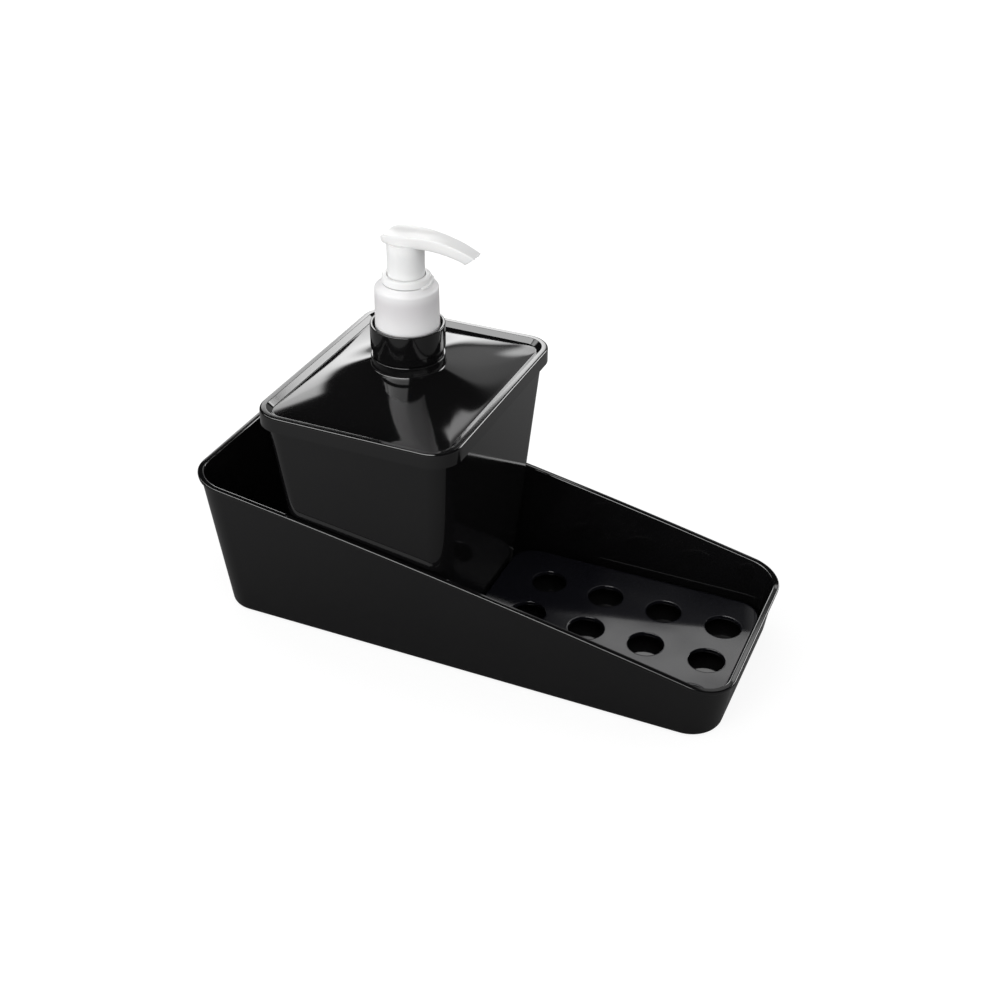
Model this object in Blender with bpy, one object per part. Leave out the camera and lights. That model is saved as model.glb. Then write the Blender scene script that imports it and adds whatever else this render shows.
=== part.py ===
"""Detergent dispenser: a tapered pump canister that stands in a long sloping tray with a drip grid."""
import math

import bmesh
import bpy

# Clearances between separate pieces
GAP = 0.0003
CUT_OVERRUN = 0.002

# Tray: a long low box whose rim slopes down from the left end to the right end
TRAY_LENGTH = 0.243
TRAY_TALL_END = 0.071
TRAY_LOW_END = 0.026
TRAY_RIM_CROWN = 0.0019
TRAY_WALL = 0.0018
TRAY_FLOOR = 0.002
TRAY_CORNER = 0.0145
TRAY_CORNER_GROWTH = 0.002
TRAY_END_DRAFT_SHARE = 0.138
TRAY_SIDE_DRAFT_SHARE = 0.053
TRAY_EDGE = 0.0015
TRAY_FILLET = 0.0008
LIP_REACH = 0.0012
LIP_HEIGHT = 0.002
LIP_EDGE = 0.0005
RIB_LENGTH = 0.06
RIB_WIDTH = 0.0018
RIB_HEIGHT = 0.006
RIB_CLEARANCE = 0.0008

# Canister: a tapered tank, open at the top, standing on the tray's floor
CANISTER_INSET = 0.0787
CANISTER_SIDE_CLEARANCE = 0.00025
CANISTER_HEIGHT = 0.1093
CANISTER_TOP_LENGTH = 0.0883
CANISTER_TOP_WIDTH = 0.1118
CANISTER_FOOT_LENGTH = 0.0728
CANISTER_FOOT_WIDTH = 0.0849
CANISTER_CORNER = 0.009
CANISTER_WALL = 0.0018
CANISTER_FLOOR = 0.002
CANISTER_EDGE = 0.0015
CANISTER_LIP_EDGE = 0.0004

# Drip grid: a raised plate with a turned-down edge and round drain holes
GRID_RISE = 0.0055
GRID_PLATE = 0.002
GRID_WALL = 0.0016
GRID_EDGE = 0.001
GRID_NEAR_CLEARANCE = 0.001
GRID_FAR_CLEARANCE = 0.003
GRID_END_CLEARANCE = 0.001
GRID_CANISTER_CLEARANCE = 0.0008
HOLE_DIAMETER = 0.0165
HOLE_FLARE = 0.0008
HOLE_COLUMNS = 4
HOLE_ROWS = 3
HOLE_COLUMN_PITCH = 0.0289
HOLE_ROW_PITCH = 0.0266
HOLE_END_MARGIN = 0.0134
HOLE_SIDE_SHIFT = 0.0042

# Lid: a dished four-sided cover whose middle rises to the neck
LID_OVERHANG = 0.003
LID_OVERLAP = 0.001
LID_SKIRT = 0.0069
LID_CORNER = 0.013
LID_EDGE = 0.0007
LID_RIM_WIDTH = 0.0029
LID_SKIRT_WALL = 0.0018
LID_SKIN = 0.002
LID_DISH = 0.0034
LID_BANK_REACH = 0.0033
LID_NECK_RISE = 0.0065
LID_NECK_FLARE = 0.001
PLUG_DEPTH = 0.0055
PLUG_WALL = 0.0016

# Neck of the lid, its loose-fitting ring and the pump's screw closure, outermost first
RING_RADIUS = 0.0165
RING_WALL = 0.0014
RING_HEIGHT = 0.0142
RING_TAPER_HEIGHT = 0.0035
RING_TAPER_DEPTH = 0.0008
RING_EDGE = 0.0004
TIER_HEIGHT = 0.005
NECK_HEIGHT = 0.0274
NECK_WALL = 0.00145
THREAD_ROOM = 0.0009
CLOSURE_WALL = 0.00165
CLOSURE_TAPER = 0.0003
CLOSURE_HEIGHT = 0.0222
CLOSURE_DECK = 0.0028
CLOSURE_CHAMFER_RISE = 0.0021
CLOSURE_CHAMFER_WIDTH = 0.0033
GASKET_THICKNESS = 0.0012

# Pump: retainer, housing, stem, piston, spring, inlet ball and dip tube
SKIRT_RADIUS = 0.0081
SKIRT_WALL = 0.0009
SKIRT_HIDDEN = 0.0044
RETAINER_RADIUS = 0.0106
RETAINER_HEIGHT = 0.0033
RETAINER_EDGE = 0.0005
SLEEVE_WALL = 0.0006
GUIDE_LENGTH = 0.0061
GUIDE_FLOOR = 0.0015
FLANGE_THICKNESS = 0.0015
CUP_WALL = 0.0006
CUP_DEPTH = 0.0144
CUP_FLOOR = 0.001
BARREL_BORE_RADIUS = 0.0053
BARREL_WALL = 0.001
BARREL_LENGTH = 0.0373
SEAT_RADIUS = 0.0034
SEAT_RIM = 0.0015
SEAT_DEPTH = 0.003
INLET_RADIUS = 0.0017
INLET_LENGTH = 0.001
SOCKET_DEPTH = 0.0085
SOCKET_WALL = 0.00105
SOCKET_SHOULDER = 0.001
TUBE_RADIUS = 0.00275
TUBE_WALL = 0.00075
TUBE_FLOOR_CLEARANCE = 0.0037
BALL_RADIUS = 0.00238
BALL_CLEARANCE = 0.00015
STEM_RADIUS = 0.0036
STEM_WALL = 0.0013
STEM_SOCKET = 0.0098
STEM_IN_PISTON = 0.0032
PISTON_HEIGHT = 0.0055
PISTON_LIP = 0.0008
PISTON_WAIST_DEPTH = 0.0006
ROD_RADIUS = 0.0019
ROD_HEIGHT = 0.0111
FOOT_RADIUS = 0.0046
FOOT_THICKNESS = 0.0015
SPRING_WIRE = 0.0008
SPRING_RADIUS = 0.0044
SPRING_TURNS = 7
SPRING_STEPS = 12
SPRING_END_TURNS = 1

# Actuator: thumb pad and curved spout on a hollow skirt
PRESS_TRAVEL = 0.011
PRESS_CLEARANCE = 0.0007
HEAD_HEIGHT = 0.009
HEAD_BACK = 0.0116
HEAD_HALF_WIDTH = 0.0089
SPOUT_REACH = 0.0336
HEAD_ROUNDNESS_SHARE = 0.77
BOSS_RADIUS = 0.0052
CEILING = 0.0013
RISER_RADIUS = 0.0016
DUCT_RADIUS = 0.0019
DUCT_DROP = 0.0045

# Stations along the head: where each section's foot and top lie along the head (shares of the back
# overhang behind the axis and of the spout's reach in front), their heights, and the half width
HEAD_SHARES = (
    (-1.0, 0.2, -1.0, 0.42, 0.3),
    (-0.94, 0.06, -0.94, 0.66, 0.58),
    (-0.78, 0.0, -0.78, 0.81, 0.8),
    (-0.49, 0.0, -0.49, 0.89, 0.95),
    (0.0, 0.0, 0.0, 0.95, 1.0),
    (0.176, 0.01, 0.176, 1.0, 0.97),
    (0.318, 0.02, 0.318, 1.0, 0.88),
    (0.458, 0.01, 0.458, 0.965, 0.76),
    (0.628, -0.08, 0.67, 0.82, 0.65),
    (0.729, -0.165, 0.833, 0.61, 0.57),
    (0.815, -0.265, 1.0, 0.28, 0.49),
)
# The duct's middle line from the riser to past the spout's mouth: along the reach, and height
DUCT_SHARES = ((-0.04, 0.37), (0.42, 0.46), (0.66, 0.35), (0.84, 0.12), (1.1, -0.32))

# Counts of points round the outlines
SIDE_STEPS = 3
CORNER_STEPS = 6
RING_STEPS = 4 * (2 * SIDE_STEPS + CORNER_STEPS)
SMALL_STEPS = 24
SECTION_STEPS = 20
BALL_STEPS = 12
LID_RINGS = 8
LID_CURVE_SHARE = 1.15
LID_ROUNDING = 3
SHARP_ANGLE = math.radians(35)

# Places worked out from the sizes, from the tray up
TRAY_X = (TRAY_TALL_END - TRAY_LOW_END) * TRAY_END_DRAFT_SHARE / 2
CANISTER_X = TRAY_X - TRAY_LENGTH / 2 + CANISTER_INSET
CANISTER_LEFT = CANISTER_X - CANISTER_TOP_LENGTH / 2 + CANISTER_CORNER
CANISTER_BASE = TRAY_FLOOR + GAP
CANISTER_TOP = CANISTER_BASE + CANISTER_HEIGHT
LID_SEAT = CANISTER_TOP + GAP
LID_BASE = CANISTER_TOP - LID_OVERLAP
LID_TOP = LID_BASE + LID_SKIRT
NECK_FOOT = LID_TOP + LID_NECK_RISE
TIER_TOP = NECK_FOOT + TIER_HEIGHT
RING_BASE = TIER_TOP + GAP
NECK_TOP = TIER_TOP + NECK_HEIGHT
GASKET_BASE = NECK_TOP + GAP
FLANGE_BASE = GASKET_BASE + GASKET_THICKNESS + GAP
FLANGE_TOP = FLANGE_BASE + FLANGE_THICKNESS
DECK_BASE = FLANGE_TOP + GAP
DECK_TOP = DECK_BASE + CLOSURE_DECK
RETAINER_BASE = DECK_TOP + GAP
RETAINER_TOP = RETAINER_BASE + RETAINER_HEIGHT
CUP_BASE = FLANGE_TOP - CUP_DEPTH
SLEEVE_BASE = CUP_BASE + GAP
SLEEVE_FLOOR = SLEEVE_BASE + GUIDE_FLOOR
GUIDE_BASE = SLEEVE_FLOOR - GUIDE_LENGTH
BARREL_BASE = CUP_BASE - BARREL_LENGTH
CONE_TOP = BARREL_BASE - SEAT_RIM
CONE_BASE = CONE_TOP - SEAT_DEPTH
SOCKET_TOP = CONE_BASE - INLET_LENGTH
SOCKET_BASE = SOCKET_TOP - SOCKET_DEPTH
TUBE_TOP = SOCKET_TOP - GAP
TUBE_BASE = CANISTER_BASE + CANISTER_FLOOR + TUBE_FLOOR_CLEARANCE
PISTON_TOP = GUIDE_BASE - GAP
PISTON_BASE = PISTON_TOP - PISTON_HEIGHT
STEM_BASE = PISTON_TOP - STEM_IN_PISTON
FOOT_TOP = PISTON_BASE - GAP
FOOT_BASE = FOOT_TOP - FOOT_THICKNESS
HEAD_BASE = RETAINER_TOP + PRESS_TRAVEL + PRESS_CLEARANCE
CEILING_BASE = HEAD_BASE - CEILING
BOSS_BASE = HEAD_BASE - STEM_SOCKET - GAP
BORE_TOP = HEAD_BASE - GAP
STEM_TOP = BORE_TOP - GAP
SKIRT_BASE = RETAINER_TOP - SKIRT_HIDDEN
RISER_TOP = HEAD_BASE + DUCT_SHARES[0][1] * HEAD_HEIGHT + RISER_RADIUS
GRID_BASE = TRAY_FLOOR + GAP
GRID_TOP = GRID_BASE + GRID_RISE

# Radii worked out from the skirt outwards
SLEEVE_BORE_RADIUS = SKIRT_RADIUS + GAP
SLEEVE_RADIUS = SLEEVE_BORE_RADIUS + SLEEVE_WALL
CUP_BORE_RADIUS = SLEEVE_RADIUS + GAP
CUP_RADIUS = CUP_BORE_RADIUS + CUP_WALL
NECK_BORE_RADIUS = CUP_RADIUS + GAP
NECK_RADIUS = NECK_BORE_RADIUS + NECK_WALL
CLOSURE_BORE_RADIUS = NECK_RADIUS + THREAD_ROOM
CLOSURE_RADIUS = CLOSURE_BORE_RADIUS + CLOSURE_WALL
STEM_BORE_RADIUS = STEM_RADIUS - STEM_WALL
GUIDE_BORE_RADIUS = STEM_RADIUS + GAP
PISTON_RADIUS = BARREL_BORE_RADIUS - GAP
GUIDE_RADIUS = BARREL_BORE_RADIUS - GAP
SOCKET_BORE_RADIUS = TUBE_RADIUS + GAP


def material(name, colour, roughness, metallic=0.0):
    """One plain material with its colour, roughness and metal value."""
    made = bpy.data.materials.new(name)
    made.use_nodes = True
    shader = made.node_tree.nodes["Principled BSDF"]
    shader.inputs["Base Color"].default_value = (*colour, 1.0)
    shader.inputs["Roughness"].default_value = roughness
    shader.inputs["Metallic"].default_value = metallic
    return made


def outline(half_x, half_y, radius, centre_x=0.0, centre_y=0.0):
    """Points of a rounded rectangle, from the middle of its right side round to the left."""
    points = []
    for quadrant in range(4):
        ahead, across = (half_x, half_y) if quadrant % 2 == 0 else (half_y, half_x)
        for step in range(SIDE_STEPS):
            points.append(turn(quadrant, ahead, (across - radius) * step / SIDE_STEPS))
        for step in range(CORNER_STEPS):
            angle = math.pi / 2 * step / CORNER_STEPS
            points.append(turn(quadrant, ahead - radius + radius * math.cos(angle),
                               across - radius + radius * math.sin(angle)))
        for step in range(SIDE_STEPS):
            points.append(turn(quadrant, (ahead - radius) * (1 - step / SIDE_STEPS), across))
    return [(x + centre_x, y + centre_y) for x, y in points]


def turn(quadrant, ahead, across):
    """A point of the first quarter, turned into the given quarter."""
    return ((ahead, across), (-across, ahead), (-ahead, -across), (across, -ahead))[quadrant]


def circle(radius, z, steps=RING_STEPS):
    """A level ring of points on a circle."""
    angles = [2 * math.pi * step / steps for step in range(steps)]
    return [(radius * math.cos(angle), radius * math.sin(angle), z) for angle in angles]


def level(points, z):
    """An outline lifted to one height."""
    return [(x, y, z) for x, y in points]


def blend(first, second, share):
    """A value between two others."""
    return first + (second - first) * share


def smooth(mesh):
    """Round faces look round and real edges stay sharp."""
    mesh.shade_smooth()
    mesh.set_sharp_from_angle(angle=SHARP_ANGLE)


def shell(name, rings, finish=None, joined=False, x=0.0):
    """A closed solid through rings of points; joined rings close on themselves, others get flat ends."""
    form = bmesh.new()
    loops = [[form.verts.new(point) for point in ring] for ring in rings]
    followers = loops[1:] + loops[:1] if joined else loops[1:]
    for loop, after in zip(loops, followers):
        for index in range(len(loop)):
            following = (index + 1) % len(loop)
            form.faces.new((loop[index], loop[following], after[following], after[index]))
    if not joined:
        form.faces.new(loops[0][::-1])
        form.faces.new(loops[-1])
    mesh = bpy.data.meshes.new(name)
    form.to_mesh(mesh)
    form.free()
    smooth(mesh)
    made = bpy.data.objects.new(name, mesh)
    made.location.x = x
    bpy.context.collection.objects.link(made)
    if finish:
        mesh.materials.append(finish)
    return made


def turned(name, profile, finish=None, joined=True, steps=RING_STEPS):
    """A piece turned about the pump's axis; the profile runs up the outside and down the inside."""
    rings = [circle(radius, z, steps) for radius, z in profile]
    return shell(name, rings, finish, joined, CANISTER_X)


def change(target, tool, operation):
    """One Boolean step with a hidden tool solid."""
    tool.hide_render = True
    tool.display_type = "WIRE"
    step = target.modifiers.new(tool.name, "BOOLEAN")
    step.operation = operation
    step.object = tool


def rim_height(x):
    """Height of the tray's rim above the table at a place along the tray."""
    share = (x - TRAY_X) / TRAY_LENGTH + 0.5
    return blend(TRAY_TALL_END, TRAY_LOW_END, share) + 4 * TRAY_RIM_CROWN * share * (1 - share)


def tray_half_width(z):
    """Half the tray's width at one height: its walls clear the canister from its foot up to the rim."""
    levels = (CANISTER_BASE, rim_height(CANISTER_LEFT))
    return max(canister_half(low)[1] + CANISTER_SIDE_CLEARANCE + TRAY_WALL + TRAY_SIDE_DRAFT_SHARE * (z - low)
               for low in levels)


def tray_outline(z, offset):
    """The tray's wall in plan at one height, moved outwards by an offset."""
    growth = TRAY_CORNER_GROWTH * z / TRAY_TALL_END
    return outline(TRAY_LENGTH / 2 + TRAY_END_DRAFT_SHARE * z + offset, tray_half_width(z) + offset,
                   TRAY_CORNER + growth + offset, TRAY_X)


def tray_ring(offset, below_rim=None, above_table=0.0):
    """One ring of the tray, at a fixed height or at a fixed drop below the sloping rim."""
    ring = []
    for index, (x, _) in enumerate(tray_outline(0.0, 0.0)):
        z = above_table if below_rim is None else rim_height(x) - below_rim
        ring.append((*tray_outline(z, offset)[index], z))
    return ring


def make_tray(finish):
    """The tray with its proud lip and the low rib that keeps the canister from sliding left."""
    rings = [
        tray_ring(-TRAY_EDGE),
        tray_ring(0.0, above_table=TRAY_EDGE),
        tray_ring(0.0, LIP_HEIGHT + LIP_REACH),
        tray_ring(LIP_REACH, LIP_HEIGHT),
        tray_ring(LIP_REACH, LIP_EDGE),
        tray_ring(LIP_REACH - LIP_EDGE, 0.0),
        tray_ring(LIP_EDGE - TRAY_WALL, 0.0),
        tray_ring(-TRAY_WALL, LIP_EDGE),
        tray_ring(-TRAY_WALL, above_table=TRAY_FLOOR + TRAY_FILLET),
        tray_ring(-TRAY_WALL - TRAY_FILLET, above_table=TRAY_FLOOR),
    ]
    tray = shell("tray", rings, finish)
    right = CANISTER_X - CANISTER_FOOT_LENGTH / 2 - RIB_CLEARANCE
    foot = outline(RIB_WIDTH / 2, RIB_LENGTH / 2, RIB_WIDTH / 4, right - RIB_WIDTH / 2)
    rib = shell("rib_form", [level(foot, z) for z in (TRAY_FLOOR / 2, TRAY_FLOOR + RIB_HEIGHT)])
    change(tray, rib, "UNION")


def make_grid(finish):
    """The perforated plate that stands on the tray's floor beside the canister."""
    near = tray_half_width(GRID_BASE) - TRAY_WALL - GRID_NEAR_CLEARANCE
    far = near + GRID_NEAR_CLEARANCE - GRID_FAR_CLEARANCE
    right = TRAY_X + TRAY_LENGTH / 2 + TRAY_END_DRAFT_SHARE * GRID_BASE - TRAY_WALL - GRID_END_CLEARANCE
    left = CANISTER_X + canister_half(GRID_TOP)[0] + GRID_CANISTER_CLEARANCE
    corner = TRAY_CORNER - TRAY_WALL - GRID_END_CLEARANCE
    centre = ((left + right) / 2, (far - near) / 2)
    half = ((right - left) / 2, (far + near) / 2)

    def ring(inset, z):
        return level(outline(half[0] - inset, half[1] - inset, corner - inset, *centre), z)

    rings = [
        ring(GRID_WALL, GRID_TOP - GRID_PLATE),
        ring(GRID_WALL, GRID_BASE),
        ring(0.0, GRID_BASE),
        ring(0.0, GRID_TOP - GRID_EDGE),
        ring(GRID_EDGE, GRID_TOP),
    ]
    grid = shell("drip_grid", rings, finish)
    first_x = right - HOLE_END_MARGIN
    middle_y = centre[1] - HOLE_SIDE_SHIFT
    radius = HOLE_DIAMETER / 2
    for column in range(HOLE_COLUMNS):
        for row in range(HOLE_ROWS):
            x = first_x - column * HOLE_COLUMN_PITCH
            y = middle_y + (row - (HOLE_ROWS - 1) / 2) * HOLE_ROW_PITCH
            profile = (
                (radius, GRID_TOP - GRID_PLATE - CUT_OVERRUN),
                (radius, GRID_TOP - HOLE_FLARE),
                (radius + HOLE_FLARE, GRID_TOP),
                (radius + HOLE_FLARE, GRID_TOP + CUT_OVERRUN),
            )
            cutter = shell(f"hole_form_{column}_{row}", [circle(size, z, SMALL_STEPS) for size, z in profile])
            cutter.location.x = x
            cutter.location.y = y
            change(grid, cutter, "DIFFERENCE")


def canister_half(z):
    """Half length and half width of the canister's outside at one height."""
    share = (z - CANISTER_BASE) / CANISTER_HEIGHT
    return (blend(CANISTER_FOOT_LENGTH, CANISTER_TOP_LENGTH, share) / 2,
            blend(CANISTER_FOOT_WIDTH, CANISTER_TOP_WIDTH, share) / 2)


def canister_ring(z, inset):
    """One ring of the canister, moved inwards by an inset."""
    half_x, half_y = canister_half(z)
    return level(outline(half_x - inset, half_y - inset, CANISTER_CORNER - inset), z)


def make_canister(finish):
    """The tapered tank, open at the top."""
    rings = [
        canister_ring(CANISTER_BASE, CANISTER_EDGE),
        canister_ring(CANISTER_BASE + CANISTER_EDGE, 0.0),
        canister_ring(CANISTER_TOP - CANISTER_LIP_EDGE, 0.0),
        canister_ring(CANISTER_TOP, CANISTER_LIP_EDGE),
        canister_ring(CANISTER_TOP, CANISTER_WALL - CANISTER_LIP_EDGE),
        canister_ring(CANISTER_TOP - CANISTER_LIP_EDGE, CANISTER_WALL),
        canister_ring(CANISTER_BASE + CANISTER_FLOOR + CANISTER_EDGE, CANISTER_WALL),
        canister_ring(CANISTER_BASE + CANISTER_FLOOR, CANISTER_WALL + CANISTER_EDGE),
    ]
    shell("canister", rings, finish, x=CANISTER_X)


def lid_surface(half_x, half_y, corner, neck, drop, backwards=False):
    """Rings that rise from the valley inside the rim to the round neck, and grow round on the way."""
    outer = outline(half_x, half_y, corner)
    rings = []
    shares = [step / LID_RINGS for step in range(LID_RINGS + 1)]
    for share in shares[::-1] if backwards else shares:
        z = blend(LID_TOP - LID_DISH, NECK_FOOT, share ** LID_CURVE_SHARE) - drop
        roundness = 1 - (1 - share) ** LID_ROUNDING
        ring = []
        for (out_x, out_y), (turn_x, turn_y, _) in zip(outer, circle(1.0, 0.0)):
            x = blend(blend(out_x, turn_x * neck, share), blend(half_x, neck, share) * turn_x, roundness)
            y = blend(blend(out_y, turn_y * neck, share), blend(half_y, neck, share) * turn_y, roundness)
            ring.append((x, y, z))
        rings.append(ring)
    return rings


def make_lid(finish):
    """The lid: skirt, rim, dished top, neck for the closure, and a plug that enters the canister."""
    top_x, top_y = CANISTER_TOP_LENGTH / 2, CANISTER_TOP_WIDTH / 2
    half_x, half_y = top_x + LID_OVERHANG, top_y + LID_OVERHANG

    def rim(inset, z):
        return level(outline(half_x - inset, half_y - inset, LID_CORNER - inset), z)

    def plug(inset, z):
        inner_x, inner_y = canister_half(z)
        setback = CANISTER_WALL + GAP + inset
        return level(outline(inner_x - setback, inner_y - setback, CANISTER_CORNER - setback), z)

    bank_foot = LID_RIM_WIDTH + LID_BANK_REACH
    plug_base = LID_SEAT - PLUG_DEPTH
    plug_x, plug_y = (size - CANISTER_WALL - GAP - PLUG_WALL for size in canister_half(plug_base))
    rings = [
        rim(0.0, LID_BASE),
        rim(0.0, LID_TOP - LID_EDGE),
        rim(LID_EDGE, LID_TOP),
        rim(LID_RIM_WIDTH, LID_TOP),
        *lid_surface(half_x - bank_foot, half_y - bank_foot, LID_CORNER - bank_foot,
                     RING_RADIUS + LID_NECK_FLARE, 0.0),
        circle(RING_RADIUS, NECK_FOOT + LID_NECK_FLARE),
        circle(RING_RADIUS, TIER_TOP - RING_EDGE),
        circle(RING_RADIUS - RING_EDGE, TIER_TOP),
        circle(NECK_RADIUS, TIER_TOP),
        circle(NECK_RADIUS, NECK_TOP - RING_EDGE),
        circle(NECK_RADIUS - RING_EDGE, NECK_TOP),
        circle(NECK_BORE_RADIUS, NECK_TOP),
        *lid_surface(plug_x, plug_y, CANISTER_CORNER - CANISTER_WALL - GAP - PLUG_WALL,
                     NECK_BORE_RADIUS, LID_SKIN, backwards=True),
        plug(PLUG_WALL, plug_base),
        plug(0.0, plug_base),
        plug(0.0, LID_SEAT),
        rim(LID_SKIRT_WALL, LID_SEAT),
        rim(LID_SKIRT_WALL, LID_BASE),
    ]
    shell("lid", rings, finish, joined=True, x=CANISTER_X)


def make_neck_ring(finish):
    """The ring round the closure's foot, drawn in towards its lower edge."""
    bore = RING_RADIUS - RING_WALL
    top = RING_BASE + RING_HEIGHT
    turned("neck_ring", (
        (RING_RADIUS - RING_TAPER_DEPTH, RING_BASE),
        (RING_RADIUS, RING_BASE + RING_TAPER_HEIGHT),
        (RING_RADIUS, top - RING_EDGE),
        (RING_RADIUS - RING_EDGE, top),
        (bore, top),
        (bore, RING_BASE),
    ), finish)


def make_closure(finish):
    """The screw closure: straight sides, a chamfered shoulder and a deck with a hole for the pump."""
    base = DECK_TOP - CLOSURE_HEIGHT
    shoulder = DECK_TOP - CLOSURE_CHAMFER_RISE
    shoulder_radius = CLOSURE_RADIUS - CLOSURE_TAPER
    hole = SLEEVE_RADIUS + GAP
    turned("closure", (
        (CLOSURE_RADIUS, base),
        (shoulder_radius, shoulder),
        (shoulder_radius - CLOSURE_CHAMFER_WIDTH, DECK_TOP),
        (hole, DECK_TOP),
        (hole, DECK_BASE),
        (CLOSURE_BORE_RADIUS, DECK_BASE),
        (CLOSURE_BORE_RADIUS, base),
    ), finish)


def make_neck_gasket(finish):
    """The soft washer between the neck and the pump's flange."""
    top = GASKET_BASE + GASKET_THICKNESS
    turned("neck_gasket", (
        (NECK_RADIUS, GASKET_BASE),
        (NECK_RADIUS, top),
        (NECK_BORE_RADIUS, top),
        (NECK_BORE_RADIUS, GASKET_BASE),
    ), finish)


def make_retainer(finish):
    """The collar above the closure, with a sleeve in the housing and a guide for the stem."""
    turned("retainer", (
        (SLEEVE_RADIUS, SLEEVE_BASE),
        (SLEEVE_RADIUS, RETAINER_BASE),
        (RETAINER_RADIUS, RETAINER_BASE),
        (RETAINER_RADIUS, RETAINER_TOP - RETAINER_EDGE),
        (RETAINER_RADIUS - RETAINER_EDGE, RETAINER_TOP),
        (SLEEVE_BORE_RADIUS, RETAINER_TOP),
        (SLEEVE_BORE_RADIUS, SLEEVE_FLOOR),
        (GUIDE_BORE_RADIUS, SLEEVE_FLOOR),
        (GUIDE_BORE_RADIUS, GUIDE_BASE),
        (GUIDE_RADIUS, GUIDE_BASE),
        (GUIDE_RADIUS, SLEEVE_BASE),
    ), finish)


def make_housing(finish):
    """The pump's body: flange and cup in the neck, barrel, ball seat and a socket for the dip tube."""
    turned("pump_housing", (
        (SOCKET_BORE_RADIUS + SOCKET_WALL, SOCKET_BASE),
        (SOCKET_BORE_RADIUS + SOCKET_WALL, SOCKET_TOP - SOCKET_SHOULDER),
        (BARREL_BORE_RADIUS + BARREL_WALL, CONE_BASE + SOCKET_SHOULDER),
        (BARREL_BORE_RADIUS + BARREL_WALL, CUP_BASE - CUP_FLOOR),
        (CUP_RADIUS, CUP_BASE - CUP_FLOOR),
        (CUP_RADIUS, FLANGE_BASE),
        (NECK_RADIUS, FLANGE_BASE),
        (NECK_RADIUS, FLANGE_TOP),
        (CUP_BORE_RADIUS, FLANGE_TOP),
        (CUP_BORE_RADIUS, CUP_BASE),
        (BARREL_BORE_RADIUS, CUP_BASE),
        (BARREL_BORE_RADIUS, BARREL_BASE),
        (SEAT_RADIUS, BARREL_BASE),
        (SEAT_RADIUS, CONE_TOP),
        (INLET_RADIUS, CONE_BASE),
        (INLET_RADIUS, SOCKET_TOP),
        (SOCKET_BORE_RADIUS, SOCKET_TOP),
        (SOCKET_BORE_RADIUS, SOCKET_BASE),
    ), finish)


def make_dip_tube(finish):
    """The tube that reaches down to just above the canister's floor."""
    bore = TUBE_RADIUS - TUBE_WALL
    turned("dip_tube", (
        (TUBE_RADIUS, TUBE_BASE),
        (TUBE_RADIUS, TUBE_TOP),
        (bore, TUBE_TOP),
        (bore, TUBE_BASE),
    ), finish, steps=SMALL_STEPS)


def make_ball(finish):
    """The inlet ball, resting in the cone of the housing."""
    slope = math.atan((SEAT_RADIUS - INLET_RADIUS) / SEAT_DEPTH)
    reach = (BALL_RADIUS + BALL_CLEARANCE) / math.cos(slope)
    centre = CONE_BASE + (reach - INLET_RADIUS) / math.tan(slope)
    form = bmesh.new()
    bmesh.ops.create_uvsphere(form, u_segments=2 * BALL_STEPS, v_segments=BALL_STEPS, radius=BALL_RADIUS)
    mesh = bpy.data.meshes.new("inlet_ball")
    form.to_mesh(mesh)
    form.free()
    mesh.shade_smooth()
    mesh.materials.append(finish)
    ball = bpy.data.objects.new("inlet_ball", mesh)
    ball.location = (CANISTER_X, 0.0, centre)
    bpy.context.collection.objects.link(ball)


def make_stem(finish):
    """The hollow stem that joins the actuator to the piston."""
    turned("stem", (
        (STEM_RADIUS, STEM_BASE),
        (STEM_RADIUS, STEM_TOP),
        (STEM_BORE_RADIUS, STEM_TOP),
        (STEM_BORE_RADIUS, STEM_BASE),
    ), finish, steps=SMALL_STEPS)


def make_piston(finish):
    """The piston: a ring with two lips, and a counterbore that takes the stem."""
    waist = PISTON_RADIUS - PISTON_WAIST_DEPTH
    turned("piston", (
        (PISTON_RADIUS, PISTON_BASE),
        (PISTON_RADIUS, PISTON_BASE + PISTON_LIP),
        (waist, PISTON_BASE + 2 * PISTON_LIP),
        (waist, PISTON_TOP - 2 * PISTON_LIP),
        (PISTON_RADIUS, PISTON_TOP - PISTON_LIP),
        (PISTON_RADIUS, PISTON_TOP),
        (STEM_RADIUS + GAP, PISTON_TOP),
        (STEM_RADIUS + GAP, STEM_BASE - GAP),
        (ROD_RADIUS + GAP, STEM_BASE - GAP),
        (ROD_RADIUS + GAP, PISTON_BASE),
    ), finish)


def make_piston_seat(finish):
    """The foot under the piston, with a rod that plugs into the stem; the spring pushes on it."""
    turned("piston_seat", (
        (FOOT_RADIUS, FOOT_BASE),
        (FOOT_RADIUS, FOOT_TOP),
        (ROD_RADIUS, FOOT_TOP),
        (ROD_RADIUS, FOOT_TOP + ROD_HEIGHT),
    ), finish, joined=False, steps=SMALL_STEPS)


def spring_point(turns, low, high):
    """A point on the spring's wire: flat end turns, and an even rise between them."""
    working = SPRING_TURNS - 2 * SPRING_END_TURNS
    share = min(max((turns - SPRING_END_TURNS) / working, 0.0), 1.0)
    closed = SPRING_WIRE + GAP
    lower = min(turns, SPRING_END_TURNS) * closed
    upper = max(SPRING_END_TURNS - (SPRING_TURNS - turns), 0.0) * closed
    middle = (high - low - 2 * SPRING_END_TURNS * closed) * share
    angle = 2 * math.pi * turns
    return (SPRING_RADIUS * math.cos(angle), SPRING_RADIUS * math.sin(angle), low + lower + middle + upper)


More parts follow.
